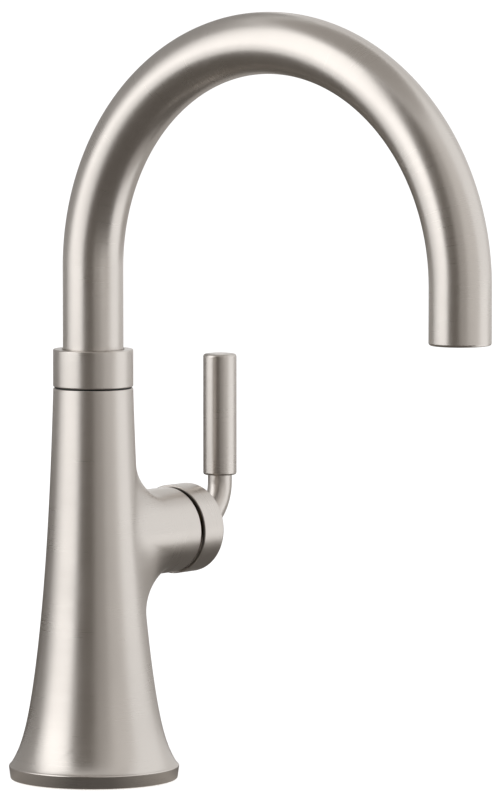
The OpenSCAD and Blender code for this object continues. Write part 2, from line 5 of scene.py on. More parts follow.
import bmesh
import bpy
from bpy.props import FloatProperty, FloatVectorProperty, PointerProperty
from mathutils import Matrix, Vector


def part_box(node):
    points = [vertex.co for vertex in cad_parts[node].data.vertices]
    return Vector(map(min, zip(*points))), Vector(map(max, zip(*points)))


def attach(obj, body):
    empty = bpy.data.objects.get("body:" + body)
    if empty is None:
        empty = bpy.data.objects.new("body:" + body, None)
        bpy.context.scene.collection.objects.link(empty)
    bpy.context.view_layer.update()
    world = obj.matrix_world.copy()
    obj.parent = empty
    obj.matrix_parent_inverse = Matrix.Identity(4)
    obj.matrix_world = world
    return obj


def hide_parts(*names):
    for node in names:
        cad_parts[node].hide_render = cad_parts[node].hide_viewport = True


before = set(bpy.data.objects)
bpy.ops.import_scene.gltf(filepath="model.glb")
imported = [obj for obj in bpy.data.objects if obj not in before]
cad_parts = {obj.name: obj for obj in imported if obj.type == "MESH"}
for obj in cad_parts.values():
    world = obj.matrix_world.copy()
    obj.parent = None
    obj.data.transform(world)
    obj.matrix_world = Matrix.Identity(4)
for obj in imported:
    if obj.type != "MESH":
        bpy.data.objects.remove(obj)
bpy.context.view_layer.update()

bl_info = {
    "name": "Gooseneck Bar Faucet",
    "version": (1, 0, 0),
    "blender": (4, 5, 0),
    "location": "View3D > Sidebar > Faucet",
    "description": "Finishes, smooth metal pieces and a studio for a gooseneck bar faucet",
    "category": "Object",
}

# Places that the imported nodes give, in metres
TUBE_LOW, TUBE_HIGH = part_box("spout_tube")
HUB_LOW, HUB_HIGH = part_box("hub")
TUBE_R = TUBE_HIGH.x
REACH = -(TUBE_LOW.y + TUBE_R)
ARCH_R = REACH / 2
SPRING_Z = TUBE_HIGH.z - TUBE_R - ARCH_R
BOSS_Z = (HUB_LOW.z + HUB_HIGH.z) / 2

# The camera stands in front of the faucet and to its left: place in metres, width of its sensor in mm
CAMERA_PLACE = (-2.1118, -1.7676, 0.4062)
SENSOR_WIDTH = 36
CAMERA_TURN = math.radians(-51.435)
CAMERA_PITCH = math.radians(-5.135)
TO_CAMERA = Vector((math.sin(CAMERA_TURN), -math.cos(CAMERA_TURN), 0))
TO_RIGHT = Vector((math.cos(CAMERA_TURN), math.sin(CAMERA_TURN), 0))


class FaucetFinish(bpy.types.PropertyGroup):
    """Colours of the finishes and the strength of the brushing"""

    nickel: FloatVectorProperty(
        name="Nickel", description="Colour of the brushed nickel", subtype="COLOR",
        size=3, min=0, max=1, default=(0.675, 0.635, 0.595))
    brass: FloatVectorProperty(
        name="Brass", description="Colour of the machined brass", subtype="COLOR",
        size=3, min=0, max=1, default=(0.74, 0.55, 0.24))
    copper: FloatVectorProperty(
        name="Copper", description="Colour of the copper pipes", subtype="COLOR",
        size=3, min=0, max=1, default=(0.80, 0.42, 0.28))
    roughness: FloatProperty(
        name="Roughness", description="Mean roughness of the brushed nickel", subtype="FACTOR",
        min=0.05, max=0.9, default=0.30)
    brushing: FloatProperty(
        name="Brushing", description="Depth of the brush lines", subtype="FACTOR",
        min=0, max=1, default=0.036)


class FaucetBody(bpy.types.PropertyGroup):
    """Sizes of the flared body and of the blend into its side boss"""

    core: FloatProperty(
        name="Core Radius", description="Radius that the flare would shrink to",
        unit="LENGTH", min=0.014, max=0.016, default=0.0145)
    sweep: FloatProperty(
        name="Sweep Radius", description="Radius that the long sweep adds at the foot",
        unit="LENGTH", min=0.017, max=0.020, default=0.0182)
    sweep_height: FloatProperty(
        name="Sweep Height", description="Height over which the long sweep falls to a third",
        unit="LENGTH", min=0.07, max=0.09, default=0.079)
    kick: FloatProperty(
        name="Kick Radius", description="Radius that the short kick adds at the foot",
        unit="LENGTH", min=0.006, max=0.009, default=0.0082)
    kick_height: FloatProperty(
        name="Kick Height", description="Height over which the short kick falls to a third",
        unit="LENGTH", min=0.006, max=0.009, default=0.0081)
    rim_height: FloatProperty(
        name="Rim Height", description="Height of the foot's upright rim",
        unit="LENGTH", min=0.005, max=0.007, default=0.0062)
    rim_draft: FloatProperty(
        name="Rim Draft", description="How far the rim draws in from its top to its bottom",
        unit="LENGTH", min=0, max=0.001, default=0.0006)
    rim_round: FloatProperty(
        name="Rim Rounding", description="Rounding of the rim's edges",
        unit="LENGTH", min=0.0004, max=0.0012, default=0.0009)
    top_round: FloatProperty(
        name="Top Rounding", description="Rounding of the body's top edge",
        unit="LENGTH", min=0.0001, max=0.0006, default=0.0004)
    boss_radius: FloatProperty(
        name="Boss Radius", description="Radius of the side boss",
        unit="LENGTH", min=0.018, max=0.0185, default=0.01815)
    boss_end: FloatProperty(
        name="Boss End", description="Distance of the boss's end from the body's axis",
        unit="LENGTH", min=0.049, max=0.054, default=0.0497)
    boss_round: FloatProperty(
        name="Boss Rounding", description="Rounding of the boss's rim",
        unit="LENGTH", min=0.0002, max=0.0008, default=0.0005)
    blend_low: FloatProperty(
        name="Blend Under", description="Radius of the blend under the boss",
        unit="LENGTH", min=0.007, max=0.012, default=0.0083)
    blend_high: FloatProperty(
        name="Blend Over", description="Radius of the blend over the boss",
        unit="LENGTH", min=0.012, max=0.018, default=0.015)
    blend_side: FloatProperty(
        name="Blend Beside", description="Radius of the blend at the boss's sides",
        unit="LENGTH", min=0.04, max=0.05, default=0.046)
    wall: FloatProperty(
        name="Wall", description="Thickness of the hollow flare's wall",
        unit="LENGTH", min=0.002, max=0.004, default=0.0026)
    shoulder: FloatProperty(
        name="Shoulder Height", description="Height where the hollow flare meets the straight bore",
        unit="LENGTH", min=0.05, max=0.06, default=0.058)
    bore: FloatProperty(
        name="Bore", description="Radius of the straight bore",
        unit="LENGTH", min=0.0144, max=0.0146, default=0.0144)
    boss_bore: FloatProperty(
        name="Boss Bore", description="Radius of the bore through the boss",
        unit="LENGTH", min=0.0145, max=0.0147, default=0.0145)
    bonnet_seat: FloatProperty(
        name="Bonnet Seat", description="Depth of the step in the boss's mouth",
        unit="LENGTH", min=0.001, max=0.002, default=0.0015)
    groove: FloatProperty(
        name="Gasket Groove", description="Width of the groove under the rim",
        unit="LENGTH", min=0.003, max=0.004, default=0.0038)


class FaucetSpout(bpy.types.PropertyGroup):
    """Sizes of the gooseneck's wall and outlet, and of the threads in the foot's insert"""

    tube_wall: FloatProperty(
        name="Tube Wall", description="Thickness of the gooseneck's wall",
        unit="LENGTH", min=0.001, max=0.002, default=0.0013)
    outlet_round: FloatProperty(
        name="Outlet Rounding", description="Rounding of the outlet's outer edge",
        unit="LENGTH", min=0.0002, max=0.0012, default=0.0011)
    recess: FloatProperty(
        name="Outlet Recess", description="How far the outlet's insert stands back inside the tube",
        unit="LENGTH", min=0.0002, max=0.001, default=0.0006)
    hose_pitch: FloatProperty(
        name="Hose Pitch", description="Distance from crest to crest of the hose sockets' threads",
        unit="LENGTH", min=0.0008, max=0.0012, default=0.001)
    stud_pitch: FloatProperty(
        name="Stud Pitch", description="Distance from crest to crest of the stud hole's thread",
        unit="LENGTH", min=0.001, max=0.0015, default=0.00125)
    hose_radius: FloatProperty(
        name="Socket Radius", description="Radius of the hose sockets at the crests of their threads",
        unit="LENGTH", min=0.004, max=0.005, default=0.0045)
    stud_radius: FloatProperty(
        name="Stud Hole Radius", description="Radius of the stud's hole at the crests of its thread",
        unit="LENGTH", min=0.0025, max=0.0042, default=0.0034)
    stud_place: FloatProperty(
        name="Stud Place", description="Distance of the fixing stud's hole behind the axis",
        unit="LENGTH", min=0.010, max=0.013, default=0.011)
    socket_floor: FloatProperty(
        name="Socket Floor", description="Thickness of the floor over each hose socket",
        unit="LENGTH", min=0.002, max=0.004, default=0.003)


class FaucetGrip(bpy.types.PropertyGroup):
    """Edges of the lever's grip"""

    end_round: FloatProperty(
        name="End Rounding", description="Rounding of the grip's free end",
        unit="LENGTH", min=0.0005, max=0.003, default=0.0012)
    crown: FloatProperty(
        name="Crown", description="Height of the shallow dome on the free end",
        unit="LENGTH", min=0.0001, max=0.001, default=0.0005)
    foot_round: FloatProperty(
        name="Foot Rounding", description="Rounding of the edge round the rod",
        unit="LENGTH", min=0.0002, max=0.0015, default=0.001)


class FaucetStudio(bpy.types.PropertyGroup):
    """Camera and light"""

    lens: FloatProperty(
        name="Lens", description="Focal length", unit="CAMERA",
        min=20, max=600, default=295.72)
    light: FloatProperty(
        name="Light", description="Strength of the lamps", subtype="FACTOR",
        min=0, max=4, default=1)
    fill: FloatProperty(
        name="Fill", description="Strength of the room light on matt surfaces", subtype="FACTOR",
        min=0, max=1, default=0.6)


# ---- Shader building ----

class Value:
    """What a shader node gives. Arithmetic on it adds Math nodes."""

    def __init__(self, shader, socket):
        self.shader, self.socket = shader, socket

    def math(self, operation, *others):
        return self.shader.node("ShaderNodeMath", {"operation": operation}, (self, *others))

    def __add__(self, other):
        return self.math("ADD", other)

    def __mul__(self, other):
        return self.math("MULTIPLY", other)

    def __sub__(self, other):
        return self.math("SUBTRACT", other)

    def __rsub__(self, other):
        return self.shader.node("ShaderNodeMath", {"operation": "SUBTRACT"}, (other, self))


class Shader:
    """Node tree of one material or of the world"""

    def __init__(self, tree):
        self.tree = tree
        tree.nodes.clear()

    def node(self, kind, settings=None, inputs=(), output=0):
        """Adds a node, sets it, then links or fills its sockets, and gives one of its outputs"""
        made = self.tree.nodes.new(kind)
        for name, setting in (settings or {}).items():
            setattr(made, name, setting)
        for socket, value in inputs.items() if isinstance(inputs, dict) else enumerate(inputs):
            if isinstance(value, Value):
                self.tree.links.new(value.socket, made.inputs[socket])
            else:
                made.inputs[socket].default_value = value
        return Value(self, made.outputs[output]) if len(made.outputs) else made

    def axes(self):
        """X, Y and Z of the point in the object's own space, in metres"""
        point = self.node("ShaderNodeTexCoord", output="Object")
        parts = self.node("ShaderNodeSeparateXYZ", inputs=(point,))
        return [Value(self, socket) for socket in parts.socket.node.outputs]

    def vector(self, x, y, z):
        return self.node("ShaderNodeCombineXYZ", inputs=(x, y, z))

    def noise(self, place, detail=2.0, roughness=0.5, scale=1.0):
        return self.node("ShaderNodeTexNoise", inputs={
            "Vector": place, "Scale": scale, "Detail": detail, "Roughness": roughness})

    def ease(self, value, low, high, to_low=0.0, to_high=1.0):
        """Smooth change from to_low to to_high while value goes from low to high"""
        return self.node("ShaderNodeMapRange", {"interpolation_type": "SMOOTHSTEP"}, {
            "Value": value, "From Min": low, "From Max": high,
            "To Min": to_low, "To Max": to_high})

    def blend(self, factor, first, second):
        """Colour between two colours"""
        return self.node("ShaderNodeMix", {"data_type": "RGBA"}, {0: factor, 6: first, 7: second}, 2)

    def surface(self, constants, **varying):
        """Principled surface: constants are set on its sockets, varying values are linked to them"""
        shader = self.node("ShaderNodeBsdfPrincipled", inputs=constants)
        for name, value in varying.items():
            self.tree.links.new(value.socket, shader.socket.node.inputs[name.replace("_", " ")])
        self.node("ShaderNodeOutputMaterial", inputs=(shader,))

    def bump(self, height, strength):
        return self.node("ShaderNodeBump", inputs={
            "Strength": strength, "Distance": BUMP_DEPTH, "Height": height})

    def seen(self):
        """1 for what the camera, reflections and glass see, 0 for the light on matt surfaces"""
        rays = self.node("ShaderNodeLightPath").socket.node.outputs
        seen = Value(self, rays["Is Camera Ray"]) + Value(self, rays["Is Glossy Ray"])
        return (seen + Value(self, rays["Is Transmission Ray"])).math("MINIMUM", 1.0)


def shade(colour, factor):
    """Colour with every part multiplied by factor"""
    return (*(min(1, part * factor) for part in colour), 1)


def new_material(name):
    material = bpy.data.materials.new(name)
    material.use_nodes = True
    return material, Shader(material.node_tree)


# Detail and roughness of the fine noises, and depth in metres of a bump at full strength
FINE_NOISE = (3, 0.6)
BUMP_DEPTH = 0.0001
# Brush lines are much longer than they are wide: lines to the metre along them and across them
ALONG_LINES = 30
ACROSS_LINES = 5200
COARSE_LINES = 900
# Share of the fine lines, clouds to the metre, share of the lines beside the clouds in the colour and in
# the gloss, spread of the colour, and the noise and the change of roughness from glossiest to dullest
FINE_SHARE = 0.65
METAL_CLOUDS = 38.0
COLOUR_LINES = 0.7
GLOSS_LINES = 0.6
METAL_SPREAD = 0.04
METAL_NOISE = (0.25, 0.75)
METAL_GLOSS = (-0.05, 0.06)
# Between these distances from the body's axis its brush lines turn to run round the boss, in metres
TURN_START, TURN_END = 0.030, 0.046
# Finishes that aren't brushed: clouds to the metre, share of the grain beside them in the colour, and the
# noise and the change of roughness from glossiest to dullest
PLAIN_CLOUDS = 60.0
GRAIN_SHARE = 0.4
PLAIN_NOISE = (0.3, 0.7)
PLAIN_GLOSS = (-0.06, 0.06)


def brushed_metal(name, colour, roughness, depth, path):
    """Metal whose brush lines run across the way that path gives: it returns that way and two others"""
    material, shader = new_material(name)
    across, side, other = path(shader)
    fine = shader.noise(
        shader.vector(side * ALONG_LINES, other * ALONG_LINES, across * ACROSS_LINES), *FINE_NOISE)
    coarse = shader.noise(
        shader.vector(side * ALONG_LINES, other * ALONG_LINES, across * COARSE_LINES))
    lines = fine * FINE_SHARE + coarse * (1 - FINE_SHARE)
    cloud = shader.noise(shader.vector(side, other, across), scale=METAL_CLOUDS)
    shader.surface(
        {"Metallic": 1.0},
        Base_Color=shader.blend(
            lines * COLOUR_LINES + cloud * (1 - COLOUR_LINES),
            shade(colour, 1 - METAL_SPREAD), shade(colour, 1 + METAL_SPREAD)),
        Roughness=shader.ease(
            lines * GLOSS_LINES + cloud * (1 - GLOSS_LINES), *METAL_NOISE,
            *(roughness + change for change in METAL_GLOSS)),
        Normal=shader.bump(lines, depth))
    return material


def path_up(shader):
    """Turned about the Z axis: the lines run round it"""
    x, y, z = shader.axes()
    return z, x, y


def path_out(shader):
    """Turned about the X axis: the lines run round it"""
    return shader.axes()


def path_body(shader):
    """Round the flared body, then round the side boss where that stands clear of it"""
    x, y, z = shader.axes()
    boss = shader.ease(x, TURN_START, TURN_END)
    return z + boss * (x - z), x + boss * (z - x), y


def path_tube(shader):
    """Along the gooseneck: up the leg, round the arch and down to the outlet"""
    x, y, z = shader.axes()
    forward = y + ARCH_R
    rise = z - SPRING_Z
    above = rise.math("MAXIMUM", 0.0)
    below = rise.math("MINIMUM", 0.0)
    arch = above.math("ARCTAN2", forward) * ARCH_R
    out_leg = forward.math("LESS_THAN", 0.0)
    radius = (forward * forward + above * above).math("SQRT")
    return arch + below * (1 - out_leg * 2), x, radius


def plain_finish(name, colour, roughness, metallic, grain, depth, spread):
    """Moulded, machined or fired finish: fine grain, soft cloudiness and a little change of gloss"""
    material, shader = new_material(name)
    point = shader.vector(*shader.axes())
    fine = shader.noise(point, *FINE_NOISE, grain)
    cloud = shader.noise(point, scale=PLAIN_CLOUDS)
    shader.surface(
        {"Metallic": metallic},
        Base_Color=shader.blend(
            fine * GRAIN_SHARE + cloud * (1 - GRAIN_SHARE),
            shade(colour, 1 - spread), shade(colour, 1 + spread)),
        Roughness=shader.ease(
            fine, *PLAIN_NOISE, *(roughness + change for change in PLAIN_GLOSS)),
        Normal=shader.bump(fine, depth))
    return material


def dress(material, *nodes):
    """Gives CAD nodes a material in place of the plain one that they came with"""
    for node in nodes:
        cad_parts[node].material_slots[0].material = material


# The brass of the foot's insert: roughness and depth of its lines
INSERT_BRASS = (0.3, 0.08)
# Turned and drawn pieces inside: name, colour, roughness, depth of the lines, their way, and the nodes
INNER_METALS = (
    ("turned_brass", "brass", 0.3, 0.12, path_up, ("waterway", "swivel_stem", "outlet_insert")),
    ("turned_brass_out", "brass", 0.3, 0.12, path_out, ("cartridge_nut", "control_stem")),
    ("drawn_copper", "copper", 0.28, 0.05, path_up, ("hot_inlet_pipe", "cold_inlet_pipe")),
)
# Other finishes: name, colour, roughness, how metallic, grains to the metre, depth of the grain, spread of
# the colour, and the nodes
PLAIN_FINISHES = (
    ("spring_steel", (0.46, 0.46, 0.47), 0.3, 1.0, 1500, 0.08, 0.12,
     ("tilt_pin", "hub_set_screw", "retaining_clip")),
    ("black_rubber", (0.016, 0.016, 0.017), 0.72, 0, 1400, 0.25, 0.3,
     ("base_gasket", "inlet_seals", "port_seals", "stem_seals", "aerator_washer")),
    ("black_acetal", (0.008, 0.008, 0.009), 0.5, 0, 1600, 0.12, 0.25,
     ("swivel_bush", "bonnet_ring")),
    ("white_acetal", (0.74, 0.74, 0.71), 0.42, 0, 1200, 0.06, 0.04,
     ("cartridge_housing", "cartridge_base", "disc_carrier", "flow_straightener", "flow_regulator")),
    ("grey_acetal", (0.17, 0.18, 0.19), 0.44, 0, 1200, 0.08, 0.1, ("turret", "aerator_body")),
    ("red_acetal", (0.42, 0.02, 0.02), 0.42, 0, 1200, 0.08, 0.1, ("limit_ring",)),
    ("fired_ceramic", (0.80, 0.78, 0.72), 0.18, 0, 2200, 0.03, 0.03,
     ("fixed_disc", "sliding_disc")),
)


# ---- Modelling ----

# Points nearer than this are one, cutters stand this far out of what they cut, a turned outline starts
# from a face this wide, and no point of the part is this far out, in metres
SAME_PLACE = 0.000002
CLEAR = 0.001
START_SIZE = 0.001
FAR = 1
# Edges flatter than these shade as smooth, on most pieces and on threads
SMOOTH_ANGLE = math.radians(30)
THREAD_ANGLE = math.radians(10)
# Where the rolling ball's touch is looked for over and under its middle, and how often that is halved
SEARCH_REACH = 0.02
SEARCH_STEPS = 30
# The boss's mouth lies within this height over and under its axis, in metres
MOUTH_REACH = 0.03
# Angle in degrees at which the foot's flare runs over into the rounding of the rim's shoulder
SHOULDER_TURN = 60
# Faces round and along the pieces
BODY_SIDES = 384
ROUND_ROWS = 5
BOSS_ROWS = 10
BLEND_ROWS = 28
FLARE_ROWS = 56
HOLLOW_STEPS = 24
CUT_SIDES = 128
CROWN_ROWS = 8
TUBE_SIDES = 128
ARCH_STEPS = 144
THREAD_STEPS = 48
# Half width of a thread's groove as a share of its pitch, how far its cutter starts inside the hole, and
# the height in pitches that parts the cutter's two open ends
THREAD_SHARE = 0.45
THREAD_INSET = 0.0001
THREAD_PARTING = 1.1


def start_clean():
    """Leaves edit mode and deselects everything"""
    if bpy.context.mode != "OBJECT":
        bpy.ops.object.mode_set(mode="OBJECT")
    bpy.ops.object.select_all(action="DESELECT")


def settle(piece, name, smooth=SMOOTH_ANGLE):
    """Names a finished piece, puts its place into its mesh and smooths it"""
    start_clean()
    piece.name = piece.data.name = name
    piece.select_set(True)
    bpy.context.view_layer.objects.active = piece
    bpy.ops.object.transform_apply(location=True, rotation=True, scale=True)
    bpy.ops.object.shade_smooth_by_angle(angle=smooth)
    weighted = piece.modifiers.new("weighted", "WEIGHTED_NORMAL")
    weighted.keep_sharp = True
    bpy.ops.object.modifier_apply(modifier=weighted.name)
    return piece


def one_point(name):
    """Starts a piece in edit mode as a single point"""
    start_clean()
    bpy.ops.mesh.primitive_plane_add(size=START_SIZE)
    piece = bpy.context.object
    piece.name = piece.data.name = name
    bpy.ops.object.mode_set(mode="EDIT")
    bpy.ops.mesh.select_mode(type="VERT")
    bpy.ops.mesh.select_all(action="SELECT")
    bpy.ops.mesh.merge(type="CENTER")
    return piece


def turned(name, outline, sides, through=(0, 0, 0), axis=(0, 0, 1)):
    """Solid turned about an axis, as on a lathe, from an outline of (radius, distance along) points"""
    across = Vector((0, 0, 1)) if axis[0] else Vector((1, 0, 0))
    points = [Vector(through) + across * radius + Vector(axis) * along for radius, along in outline]
    piece = one_point(name)
    bpy.ops.transform.translate(value=points[0])
    for last, point in zip(points, points[1:]):
        bpy.ops.mesh.extrude_vertices_move(TRANSFORM_OT_translate={"value": point - last})
    bpy.ops.mesh.select_all(action="SELECT")
    bpy.ops.mesh.spin(steps=sides, angle=2 * math.pi, center=through, axis=axis)
    close_up()
    return piece


def close_up():
    """Merges the doubles of the piece in edit mode, turns its faces outwards and leaves edit mode"""
    bpy.ops.mesh.select_all(action="SELECT")
    bpy.ops.mesh.remove_doubles(threshold=SAME_PLACE)
    bpy.ops.mesh.normals_make_consistent(inside=False)
    start_clean()


def close_up_whole(piece):
    """Merges the doubles of a piece in object mode and turns its faces outwards"""
    start_clean()
    bpy.context.view_layer.objects.active = piece
    bpy.ops.object.mode_set(mode="EDIT")
    close_up()


def select_rim(piece, low, high):
    """Selects in edit mode the open edges whose ends lie between two heights"""
    bpy.ops.mesh.select_mode(type="EDGE")
    bpy.ops.mesh.select_all(action="DESELECT")
    mesh = bmesh.from_edit_mesh(piece.data)
    for edge in mesh.edges:
        edge.select_set(edge.is_boundary and all(low < vertex.co.z < high for vertex in edge.verts))
    bmesh.update_edit_mesh(piece.data)


def extrude_on(move, scale=1.0, around=(0, 0, 0)):
    """Extrudes the selected loop, moves it and scales it flat about a point"""
    bpy.ops.mesh.extrude_edges_move(TRANSFORM_OT_translate={"value": move})
    bpy.ops.transform.resize(value=(scale, scale, 1), center_override=around)


def extrude_through(points, radius, level, around=(0, 0, 0)):
    """Extrudes the selected loop through (radius, level) points and gives its last radius"""
    for point in points:
        extrude_on((0, 0, point[1] - level), point[0] / radius, around)
        radius, level = point
    return radius


def cut_away(piece, *cutters):
    """Takes the cutters out of the piece and deletes them"""
    for cutter in cutters:
        start_clean()
        bpy.context.view_layer.objects.active = piece
        cut = piece.modifiers.new("cut", "BOOLEAN")
        cut.operation, cut.solver, cut.object = "DIFFERENCE", "EXACT", cutter
        bpy.ops.object.modifier_apply(modifier=cut.name)
        bpy.data.objects.remove(cutter)


# ---- Body ----

class BodyForm:
    """Outer face of the flared body as a grid: from the boss's end over the blend to the flare"""

    def __init__(self, size, top):
        self.size, self.top = size, top

    def radius(self, z):
        size = self.size
        return (size.core + size.sweep * math.exp(-z / size.sweep_height)
                + size.kick * math.exp(-z / size.kick_height))

    def slope(self, z):
        size = self.size
        return -(size.sweep / size.sweep_height * math.exp(-z / size.sweep_height)
                 + size.kick / size.kick_height * math.exp(-z / size.kick_height))

    def ball(self, turn):
        """Radius of the ball that rolls in the corner, at an angle round the boss"""
        size = self.size
        end = size.blend_high if math.sin(turn) > 0 else size.blend_low
        return size.blend_side + (end - size.blend_side) * math.sin(turn) ** 2

    def contact(self, turn):
        """Middle of the ball at that angle, and the way from it to where it touches the flare, reversed"""
        ball = self.ball(turn)
        reach = self.size.boss_radius + ball
        y, height = reach * math.cos(turn), BOSS_Z + reach * math.sin(turn)
        low, high = height - SEARCH_REACH, height + SEARCH_REACH
        for _ in range(SEARCH_STEPS):
            z = (low + high) / 2
            slope = self.slope(z)
            if z - ball * slope / math.hypot(1, slope) < height:
                low = z
            else:
                high = z
        far = self.radius(z) + ball / math.hypot(1, slope)
        middle = Vector((math.sqrt(far * far - y * y), y, height))
        flat = Vector((middle.x, middle.y, 0)).normalized()
        return middle, Vector((flat.x, flat.y, -slope)).normalized()

    def blend(self, turn, share):
        """Point of the blend, from the boss at share 0 to the flare at share 1"""
        middle, outward = self.contact(turn)
        to_boss = Vector((0, math.cos(turn), math.sin(turn)))
        return middle - self.ball(turn) * to_boss.slerp(outward, share)

    def flare(self, turn, share):
        """Point of the flare, from the blend's edge at share 0 to its top, foot or back at share 1"""
        edge = self.blend(turn, 1)
        # The flare laid flat is a rectangle, half a turn to each side of the boss. Its border is shared
        # out evenly, a quarter of the columns to each side.
        quarter, along = divmod(turn / (math.pi / 2) + 0.5, 1)
        along = 2 * along - 1
        side, level = ((1, along), (-along, 1), (-1, -along), (along, -1))[int(quarter) % 4]
        foot = self.size.rim_height
        around = math.atan2(edge.y, edge.x)
        around += (math.pi * side - around) * share
        height = edge.z + (foot + (level + 1) / 2 * (self.top - foot) - edge.z) * share
        radius = self.radius(height)
        return Vector((radius * math.cos(around), radius * math.sin(around), height))

    def place(self, column, row):
        """Point of the grid, with the rows of each part of the face in turn"""
        size = self.size
        turn = 2 * math.pi * column / BODY_SIDES
        out = Vector((0, math.cos(turn), math.sin(turn)))
        boss = Vector((size.boss_end, 0, BOSS_Z))
        if row <= ROUND_ROWS:
            bend = math.pi / 2 * row / ROUND_ROWS
            boss.x -= size.boss_round * (1 - math.cos(bend))
            return boss + out * (size.boss_radius - size.boss_round * (1 - math.sin(bend)))
        row -= ROUND_ROWS
        if row <= BOSS_ROWS:
            boss.x -= size.boss_round
            boss.x += (self.blend(turn, 0).x - boss.x) * row / BOSS_ROWS
            return boss + out * size.boss_radius
        row -= BOSS_ROWS
        if row <= BLEND_ROWS:
            return self.blend(turn, row / BLEND_ROWS)
        return self.flare(turn, (row - BLEND_ROWS) / FLARE_ROWS)


def rounded(radius, level, corner, first, last):
    """Quarter or less of a rounded edge as (radius, level) points, by the angle from flat out"""
    turns = [math.radians(first + (last - first) * step / ROUND_ROWS) for step in range(ROUND_ROWS + 1)]
    return [(radius + corner * math.cos(turn), level + corner * math.sin(turn)) for turn in turns]


def body_cutters(size, form, top):
    """What is taken out of the body: the hollow with its bore, the gasket's groove, the boss's bore"""
    insert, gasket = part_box("base_insert")[1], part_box("base_gasket")[1]
    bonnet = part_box("bonnet_ring")[1]
    shoulder, core = size.shoulder, size.bore
    levels = [shoulder - (shoulder - insert.z) * step / HOLLOW_STEPS for step in range(HOLLOW_STEPS + 1)]
    hollow = [(form.radius(level) - size.wall, level) for level in levels]
    foot_cut = turned("foot_cut", [
        (0, top + CLEAR), (core, top + CLEAR), (core, shoulder), *hollow,
        (insert.x, insert.z), (insert.x, -CLEAR), (0, -CLEAR)], CUT_SIDES)
    inner = gasket.x - size.groove
    groove_cut = turned("groove_cut", [
        (inner, -CLEAR), (gasket.x, -CLEAR), (gasket.x, gasket.z), (inner, gasket.z),
        (inner, -CLEAR)], CUT_SIDES)
    end = size.boss_end
    boss_cut = turned("boss_cut", [
        (0, 0), (size.boss_bore, 0), (size.boss_bore, end - size.bonnet_seat),
        (bonnet.y, end - size.bonnet_seat), (bonnet.y, end + CLEAR), (0, end + CLEAR)],
        CUT_SIDES, (0, 0, BOSS_Z), (1, 0, 0))
    return foot_cut, groove_cut, boss_cut


def make_body(size):
    """Flared body with its boss and rim, hollowed and bored"""
    low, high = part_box("body_shell")
    form = BodyForm(size, high.z - size.top_round)
    rows = ROUND_ROWS + BOSS_ROWS + BLEND_ROWS + FLARE_ROWS
    start_clean()
    bpy.ops.mesh.primitive_grid_add(x_subdivisions=BODY_SIDES, y_subdivisions=rows, size=1)
    body = bpy.context.object
    for vertex in body.data.vertices:
        column = round((vertex.co.x + 0.5) * BODY_SIDES) % BODY_SIDES
        vertex.co = form.place(column, round((vertex.co.y + 0.5) * rows))
    bpy.ops.object.mode_set(mode="EDIT")
    bpy.ops.mesh.select_all(action="SELECT")
    bpy.ops.mesh.remove_doubles(threshold=SAME_PLACE)
    # The rim: over its shoulder, down its side and in under it
    foot, corner, draft = size.rim_height, size.rim_round, size.rim_draft
    side = -low.x - corner
    select_rim(body, -FAR, foot + SAME_PLACE)
    extrude_through(
        rounded(side, foot - corner, corner, SHOULDER_TURN, 0)
        + rounded(side - draft, corner, corner, 0, -90),
        form.radius(foot), foot)
    # The eased top edge
    radius, level = form.radius(form.top), form.top
    select_rim(body, level - SAME_PLACE, FAR)
    extrude_through(rounded(radius - size.top_round, level, size.top_round, 0, 90), radius, level)
    for bottom, top in ((-FAR, SAME_PLACE), (high.z - SAME_PLACE, FAR),
                        (BOSS_Z - MOUTH_REACH, BOSS_Z + MOUTH_REACH)):
        select_rim(body, bottom, top)
        bpy.ops.mesh.edge_face_add()
    close_up()
    cut_away(body, *body_cutters(size, form, high.z))
    return settle(body, "body")


# ---- Grip ----

def make_grip(size):
    """Grip turned with a crowned end and bored for its rod"""
    low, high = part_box("grip")
    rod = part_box("lever_rod")[1]
    radius, flat = high.y, high.y - size.end_round
    edge = math.degrees(math.atan(2 * size.crown / flat))
    crown = [(flat * (1 - step / CROWN_ROWS), high.z - size.crown * (1 - step / CROWN_ROWS) ** 2)
             for step in range(1, CROWN_ROWS + 1)]
    outline = [
        (0, rod.z), (rod.y, rod.z), (rod.y, low.z),
        *rounded(radius - size.foot_round, low.z + size.foot_round, size.foot_round, -90, 0),
        *rounded(flat, high.z - size.crown - size.end_round, size.end_round, 0, 90 - edge), *crown]
    grip = turned("grip_bar", outline, CUT_SIDES, ((low.x + high.x) / 2, 0, 0))
    return settle(grip, "grip_bar")


# ---- Spout and threads ----

